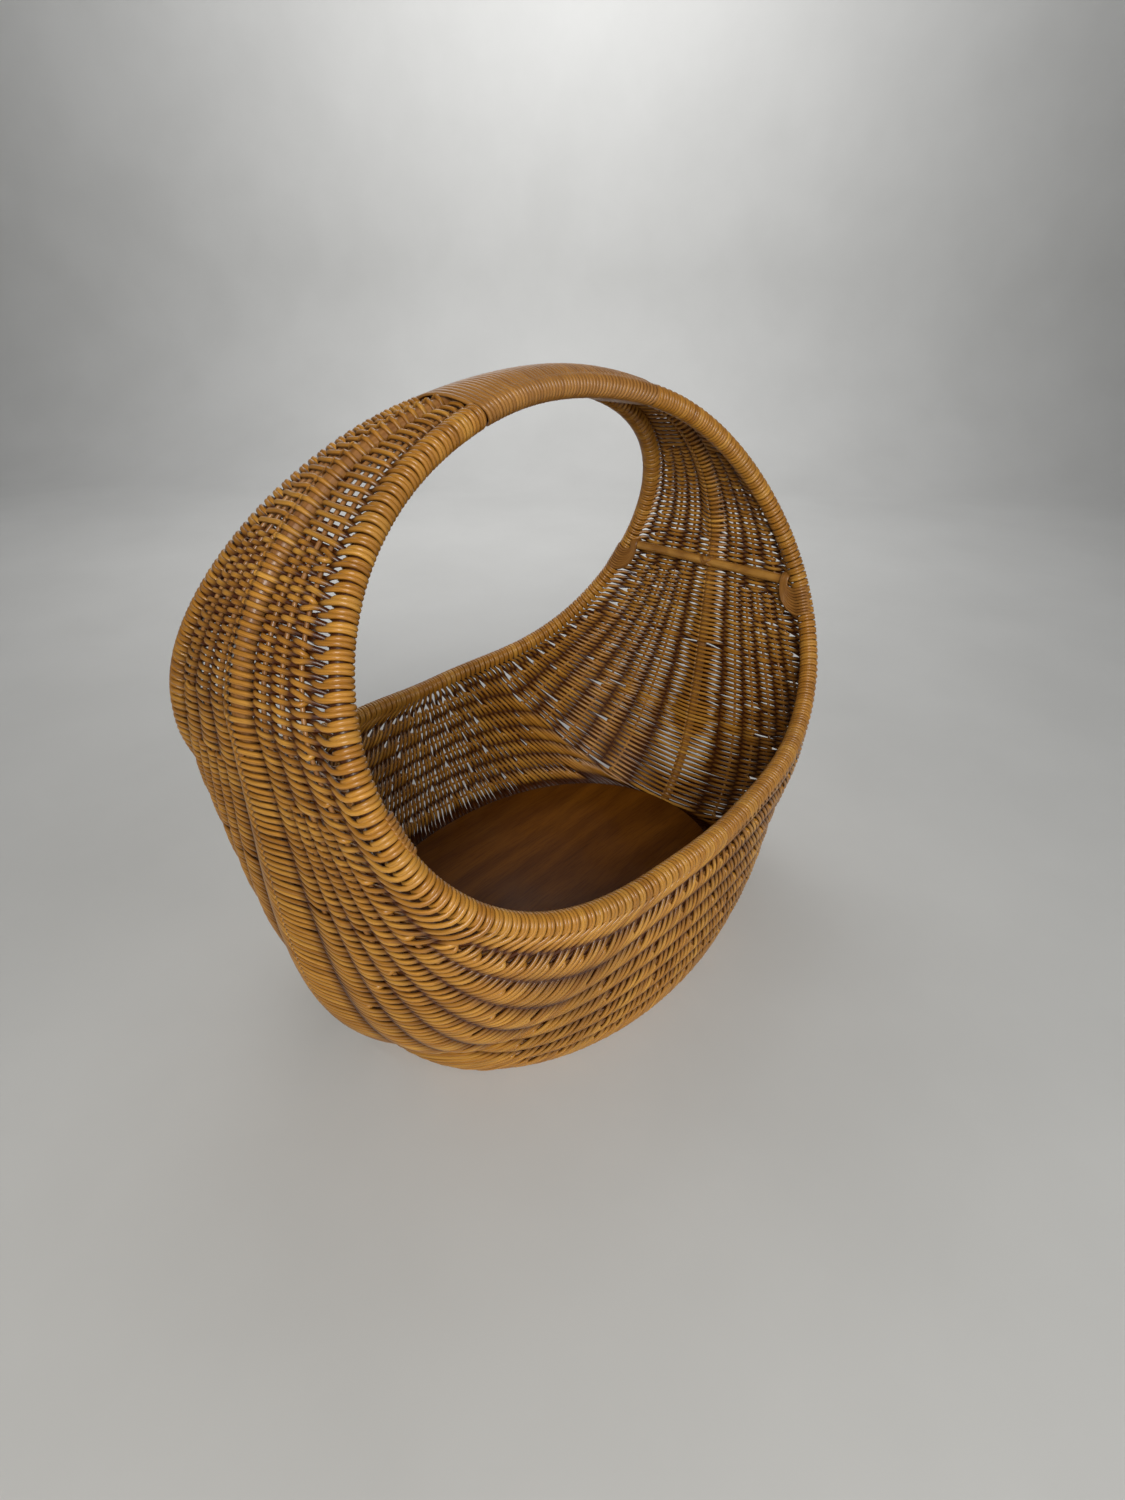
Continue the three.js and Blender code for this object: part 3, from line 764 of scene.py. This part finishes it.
def make_poles():
    round_way = np.linspace(0, 2 * np.pi, 360, endpoint=False)
    for side, mirror in (("front", np.ones(3)), ("back", MIRROR_Y)):
        path, _, down, _ = hoop_frame(round_way)
        # depth=0.2 paints deep shade on the core, which lies under its winding.
        pole(f"{side}_rim_pole", path * mirror, RIM_CORE + 0.25, WRAPPED, "wrapped_cane",
             down * mirror, [f"{side}_rim_hoop"], closed=True, depth=0.2)
        for number, level in enumerate(MAIN_RIBS, 1):
            make_rib(f"{side}_main_rib_{number}", level, WEAVE_START, mirror)
        for number, (level, start) in enumerate(FILLER_STARTS.items(), 1):
            make_rib(f"{side}_filler_rib_{number}", level, np.radians(start), mirror)
    lowest = BASE_CORNER - np.radians(0.6)
    angle = np.linspace(-lowest, lowest, 240)
    keel = keel_point(np.abs(angle)) * np.stack([np.sign(angle), angle * 0 + 1, angle * 0 + 1], -1)
    pole("keel_pole", keel, KEEL_RADIUS - 0.05, RIB, "rib_pole", (0, 1, 0), ["centre_keel_pole"], sides=18)
    turn = np.linspace(0, 2 * np.pi, 200, endpoint=False)
    ring = base_point(turn, BASE_RING_INSET, BASE_RING_HEIGHT)
    pole("base_ring_pole", ring, BASE_RING_RADIUS - 0.1, RIB, "rib_pole", (0, 0, 1), ["base_ring"],
         sides=14, closed=True)


def make_rib(name, level, start, mirror):
    points_per_degree = 1.1
    count = int(np.degrees(2 * np.pi - 2 * start) * points_per_degree)
    angle = np.linspace(start, 2 * np.pi - start, count)
    path, out, _ = wall.at(angle, wall.distance(angle, level / LEVELS))
    radius = RIB_RADIUS * rib_taper(angle, start)
    pole(f"{name}_pole", path * mirror, radius, RIB, "rib_pole", out * mirror, [name], sides=10)


# ---- Handle wrap: cane wound close over both hoops and the keel ----
WRAP_WIDTH = 4.3  # from one turn to the next
WRAP_THICKNESS = 3.6
WRAP_TOP_THICKNESS = 0.62  # of that, where it is pulled flat over the top
WRAP_UNEVENNESS = 0.05


def make_handle_wrap():
    reach = HOOP_RADIUS + 0.1 - WRAP_THICKNESS / 2
    long = 2 * HANDLE_HALF_ANGLE * float(hoop_radius(np.array(0.0)) + HANDLE_CROWN)
    turns = int(round(long / WRAP_WIDTH))
    per_turn = 56
    count = turns * per_turn
    along = np.arange(count + 1) / count
    phase = (np.arange(count + 1) % per_turn) / per_turn
    angle = HANDLE_HALF_ANGLE * (2 * along - 1)
    depth = hoop_depth(angle)
    bend = np.pi * reach
    run = phase * 2 * (2 * depth + bend)
    # One turn runs over the top, down the back, under the handle and up the front.
    back = (run - 2 * depth) / reach
    front = (run - 4 * depth - bend) / reach
    on_top = back < 0
    on_back = (back >= 0) & (back < np.pi)
    under = (back >= np.pi) & (front < 0)
    turn = np.select([on_top, on_back, under], [0, back, np.pi], np.pi + front)
    middle = np.select(
        [on_top, on_back, under], [run - depth, depth, 3 * depth + bend - run], -depth)
    y = middle + reach * np.sin(turn)
    lift = reach * np.cos(turn)
    share = np.clip(y / depth, -1, 1)
    topping = smooth((np.cos(turn) - 0.2) / 0.8)
    thin = 1 - (1 - WRAP_TOP_THICKNESS) * topping * smooth((1 - np.abs(share)) * 3)
    lift += np.where(on_top, HANDLE_CROWN * (1 - share ** 2), 0) + (1 - thin) * WRAP_THICKNESS / 2
    up = np.stack([np.sin(angle), 0 * angle, np.cos(angle)], -1)
    path = hoop_point(angle) * np.array([1, 0, 1.0]) + up * lift[:, None]
    path[:, 1] = y
    path += RANDOM.normal(0, WRAP_UNEVENNESS, (len(path), 1)) * up
    ref = up * np.cos(turn)[:, None]
    ref[:, 1] = np.sin(turn)
    strands = Strands()
    strands.add(path, ref, WRAP_WIDTH * 0.5, sides=10, flat=thin * WRAP_THICKNESS / WRAP_WIDTH)
    strands.make("handle_winding", WRAPPED, "wrapped_cane", ["handle_wrap"])


# ---- Crossbars, lashings and ties ----
def make_crossbar(side, direction):
    low, high = (np.array(corner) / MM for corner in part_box(f"{side}_crossbar"))
    x, z = (low[0] + high[0]) / 2, (low[2] + high[2]) / 2
    bar = (high[0] - low[0]) / 2
    half = (high[1] - low[1]) / 2
    y = np.linspace(-half, half, 120)
    node_places = np.array([-0.42, 0.36]) * half
    node_width = 1.6
    node = sum(np.exp(-(((y - at) / node_width) ** 2)) for at in node_places)
    bend = 0.8 * np.sin(y / half * 2.1)
    path = np.stack([x + 0 * y, y, z + bend], -1)
    radius = bar - 0.15 + 0.3 * node + 0.12 * np.sin(y / 17)
    pole(f"{side}_crossbar_pole", path, radius, BARE, "bare_pole", (0, 0, 1), [f"{side}_crossbar"],
         sides=20, depth=0.8)
    for end, mirror in (("front", np.ones(3)), ("back", MIRROR_Y)):
        make_lashing(f"{side}_crossbar_{end}_lashing", x, z, bar, half, direction, mirror)
    make_tie(f"{side}_crossbar_middle_tie", x, z, bar, direction)


def make_lashing(name, x, z, bar, half, direction, mirror):
    """Turns that come round the rim below the bar, bend up beside each other and round the bar."""
    strands = Strands()
    angle = CROSSBAR_ANGLE if direction > 0 else 2 * np.pi - CROSSBAR_ANGLE
    turns = 9
    hoop_radius_there = 316  # roughly
    ring = HOOP_RADIUS + STRAND * 0.6
    around = bar + STRAND * 0.9
    rim_points, tucked_points, tucked_depth = 12, 5, 2.5
    theta = np.radians(np.linspace(165, 262, rim_points))  # from the rim's free edge to its inner side
    rise = (ring - tucked_depth * (1 - smooth(np.arange(rim_points) / tucked_points)))[:, None]
    phi = np.radians(np.linspace(-25, 200, 14))  # over the bar, from its inner side to its outer side
    round_bar_face = np.stack([-direction * np.cos(phi), 0 * phi, np.sin(phi)], -1)
    t = np.linspace(0, np.pi / 2, 14)[1:-1]
    for i in range(turns):
        drop = 7.0 + 3.5 * i  # along the rim, below the bar
        reach = 16.0 + 2.7 * i  # along the bar, from the rim's middle
        below = angle + direction * drop / hoop_radius_there
        hoop, _, down, out = (way[0] for way in hoop_frame(np.array([below])))
        round_rim_face = down * np.cos(theta)[:, None] + out * np.sin(theta)[:, None]
        round_rim = hoop + rise * round_rim_face
        round_bar = np.array([x, hoop[1] + reach, z]) + around * round_bar_face
        start, finish = round_rim[-1], round_bar[0]
        web = np.stack([
            start[0] + (finish[0] - start[0]) * (t / (np.pi / 2)),
            start[1] + (finish[1] - start[1]) * np.sin(t),
            finish[2] + (start[2] - finish[2]) * np.cos(t),
        ], -1)
        path = np.concatenate([round_rim, web, round_bar])
        web_face = np.broadcast_to(np.array([-direction, 0, 0.0]), web.shape)
        face = np.concatenate([round_rim_face, web_face, round_bar_face])
        strands.add(soften(path) * mirror, unit(soften(face)) * mirror, STRAND * 0.95, depth=1)
    strands.make(f"{name}_strands", WRAPPED, "wrapped_cane", [name])


def soften(path, rounds=3):
    """Evens out a row of points, with its two ends kept."""
    path = np.array(path, float)
    for _ in range(rounds):
        path[1:-1] = path[1:-1] / 2 + (path[:-2] + path[2:]) / 4
    return path


def make_tie(name, x, z, bar, direction):
    """Thin cane wound slantwise round the bar and the keel."""
    keel = keel_point(CROSSBAR_ANGLE)[0] * direction
    thin = 0.95
    squareness = 0.75
    slope = 0.72
    near = abs(x) - bar - thin
    far = abs(keel) + KEEL_RADIUS + thin
    strands = Strands()
    turn = np.linspace(0, 2 * np.pi, 40, endpoint=False)
    for i, slant in enumerate((1, 1, 1, -1, -1)):
        along = (i % 3 - 1) * 2 * thin
        across = power(np.sin(turn), squareness) * (KEEL_RADIUS + thin + 0.4)
        path = np.stack([
            direction * ((near + far) / 2 + (far - near) / 2 * power(np.cos(turn), squareness)),
            across + along,
            z + slant * across * slope,
        ], -1)
        middle = np.array([direction * (near + far) / 2, 0, z])
        # The last two turns slant the other way and lie on top of the first three.
        path[:, 0] += direction * thin * 0.9 * (i > 2) * np.cos(turn)
        strands.add(path, path - middle, thin, sides=8, closed=True, depth=1)
    strands.make(f"{name}_strands", WRAPPED, "wrapped_cane", [name])


# ---- Bottom: a plain weave under the board, and the board ----
def make_base_weave():
    low, high = (np.array(corner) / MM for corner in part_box("base_weave"))
    inset = BASE_HALF_LENGTH - high[0]
    stake, stake_gap, stakes_each_way = 1.3, 12.0, 22
    weaver, weaver_gap, weavers_each_way = 1.35, 2.85, 62
    height = (low[2] + high[2]) / 2
    strands = Strands()
    stakes = np.arange(-stakes_each_way, stakes_each_way + 1) * stake_gap
    for at in stakes:
        half = half_span(at, BASE_HALF_LENGTH - inset, BASE_HALF_WIDTH - inset)
        y = np.linspace(-half, half, 24)
        # The stakes get painted shade, as lying under the weavers.
        strands.add(np.stack([at + 0 * y, y, height + 0 * y], -1), (0, 0, 1), stake, sides=6, depth=0.4)
    weavers = np.arange(-weavers_each_way, weavers_each_way + 1) * weaver_gap
    for number, at in enumerate(weavers):
        half = half_span(at, BASE_HALF_WIDTH - inset, BASE_HALF_LENGTH - inset)
        x = np.linspace(-half, half, int(half / 2) + 4)
        rise = np.cos(np.pi * x / stake_gap) * (1 if number % 2 else -1)
        path = np.stack([x, at + 0 * x, height + rise], -1)
        # Painted shade: each weaver is darker halfway between the stakes, and lighter where it bends over
        # or under one.
        strands.add(path, (0, 0, 1), weaver, sides=6, depth=0.3 + 0.5 * np.abs(rise))
    strands.make("base_weave_strands", CANE, "cane_weave", ["base_weave"])


def half_span(at, along, across):
    """Half the width of the base oval at this distance from its middle."""
    share = min(abs(at) / along, 0.999)
    return across * (1 - share ** BASE_ROUNDNESS) ** (1 / BASE_ROUNDNESS)


def make_board():
    low, high = (np.array(corner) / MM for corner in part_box("floor_board"))
    inset = BASE_HALF_LENGTH - high[0]
    count = 220
    edge = 1.8  # radius of the rounded upper edge
    lower_inset, lower_rise = 1.0, 0.8  # of the bevel below
    turn = np.linspace(0, 2 * np.pi, count, endpoint=False)
    rings = [base_point(turn, inset + lower_inset, low[2]), base_point(turn, inset, low[2] + lower_rise)]
    for bend in np.radians(np.linspace(0, 90, 5)):
        height = high[2] - edge + edge * np.sin(bend)
        rings.append(base_point(turn, inset + edge - edge * np.cos(bend), height))
    top = rings[-1]
    shares = (0.96, 0.88, 0.76, 0.62, 0.46, 0.3, 0.14)
    for share in shares:
        rings.append(top * np.array([share, share, 1]))
    rings.append(top[:1] * np.array([0, 0, 1]))
    points = np.concatenate(rings) * MM
    faces = []
    for i in range(len(rings) - 2):
        for j in range(count):
            k = (j + 1) % count
            faces.append((i * count + j, i * count + k, (i + 1) * count + k, (i + 1) * count + j))
    last = (len(rings) - 2) * count
    faces += [(last + j, last + (j + 1) % count, len(points) - 1) for j in range(count)]
    faces.append(tuple(range(count))[::-1])
    mesh = bpy.data.meshes.new("floor_board_panel")
    mesh.from_pydata(points.tolist(), [], faces)
    mesh.shade_smooth()
    finish_piece("floor_board_panel", mesh, BOARD, ["floor_board"])


# ---- Floor, light and camera ----
VIEW_AZIMUTH = np.radians(-49.67)  # 0 looks along +Y
VIEW_ELEVATION = np.radians(31.21)
VIEW_ROLL = np.radians(0.7)
VIEW_AIM = Vector((-0.014, -0.0354, 0.2455))
VIEW_DISTANCE = 0.8
LENS = 17.52  # for a frame 36 mm high


def make_camera():
    data = bpy.data.cameras.new("camera")
    data.sensor_fit = "VERTICAL"
    data.sensor_height = 36
    data.sensor_width = 27
    data.lens = LENS
    data.clip_start = 0.02
    camera = bpy.data.objects.new("camera", data)
    flat = np.cos(VIEW_ELEVATION)
    back = Vector((np.sin(VIEW_AZIMUTH) * flat, -np.cos(VIEW_AZIMUTH) * flat, np.sin(VIEW_ELEVATION)))
    right = Vector((np.cos(VIEW_AZIMUTH), np.sin(VIEW_AZIMUTH), 0))
    turned = right * np.cos(VIEW_ROLL) + back.cross(right) * np.sin(VIEW_ROLL)
    up = back.cross(turned)
    place = VIEW_AIM + back * VIEW_DISTANCE
    rows = [(turned[i], up[i], back[i], place[i]) for i in range(3)]
    camera.matrix_world = Matrix([*rows, (0, 0, 0, 1)])
    bpy.context.scene.collection.objects.link(camera)
    bpy.context.scene.camera = camera


def make_floor():
    look = Look("pale_floor")
    place = look.place()
    speckle = look.noise(place, 3.0, detail=5)
    colour = look.ramp(speckle, [(0.3, (0.6, 0.6, 0.59)), (0.7, (0.64, 0.64, 0.63))])
    roughness = look.grey(speckle, 0.55, 0.65)
    look.finish(colour, roughness, look.bump(speckle, 0.0005, 0.1))
    ahead, back, height, bend, half_width = 4.0, 3.2, 3.0, 0.8, 5
    rows = [(-ahead, 0.0)]
    for t in np.linspace(0, np.pi / 2, 16):
        rows.append((back - bend + bend * np.sin(t), bend - bend * np.cos(t)))
    rows.append((back, height))
    across = Vector((np.cos(VIEW_AZIMUTH), np.sin(VIEW_AZIMUTH), 0))
    away = Vector((-np.sin(VIEW_AZIMUTH), np.cos(VIEW_AZIMUTH), 0))
    points = []
    for run, rise in rows:
        for side in (-half_width, half_width):
            points.append(away * run + across * side + Vector((0, 0, rise)))
    faces = [(2 * i, 2 * i + 1, 2 * i + 3, 2 * i + 2) for i in range(len(rows) - 1)]
    mesh = bpy.data.meshes.new("floor")
    mesh.from_pydata([tuple(point) for point in points], [], faces)
    mesh.shade_smooth()
    mesh.materials.append(look.material)
    floor = bpy.data.objects.new("floor", mesh)
    bpy.context.scene.collection.objects.link(floor)


def add_light(name, place, aim, size, power_watts, colour):
    data = bpy.data.lights.new(name, "AREA")
    data.shape = "DISK"
    data.size = size
    data.energy = power_watts
    data.color = colour
    light = bpy.data.objects.new(name, data)
    light.location = place
    light.rotation_euler = (Vector(aim) - Vector(place)).to_track_quat("-Z", "Y").to_euler()
    bpy.context.scene.collection.objects.link(light)


def make_lights():
    world = bpy.data.worlds.new("studio")
    world.use_nodes = True
    background = world.node_tree.nodes["Background"]
    background.inputs["Color"].default_value = (0.93, 0.96, 1.0, 1)
    background.inputs["Strength"].default_value = 0.1
    bpy.context.scene.world = world
    add_light("key", (-1.5, -1.35, 1.45), (0, 0, 0.25), 1.1, 39, (1.0, 0.98, 0.93))
    add_light("fill", (0.2, -2.0, 1.0), (0, 0, 0.25), 1.6, 7, (0.95, 0.98, 1.0))
    add_light("rim", (0.8, 1.5, 1.7), (0, 0, 0.3), 1.2, 5, (1.0, 0.98, 0.95))
    add_light("backdrop", (1.2, 1.0, 2.6), (2.6, 2.4, 0.9), 2.0, 50, (1.0, 1.0, 1.0))
    bpy.context.scene.view_settings.view_transform = "Standard"


make_camera()
make_floor()
make_lights()
PIECE_NAMES = {"right_end": "right_end_{}_weave", "left_end": "left_end_{}_weave", "wall": "{}_wall_weave"}
for (zone, side), strands in weave(lay_rows()).items():
    node = PIECE_NAMES[zone].format(side)
    strands.make(f"{node}_strands", CANE, "cane_weave", [node])
make_poles()
make_handle_wrap()
make_crossbar("left", -1)
make_crossbar("right", 1)
make_base_weave()
make_board()
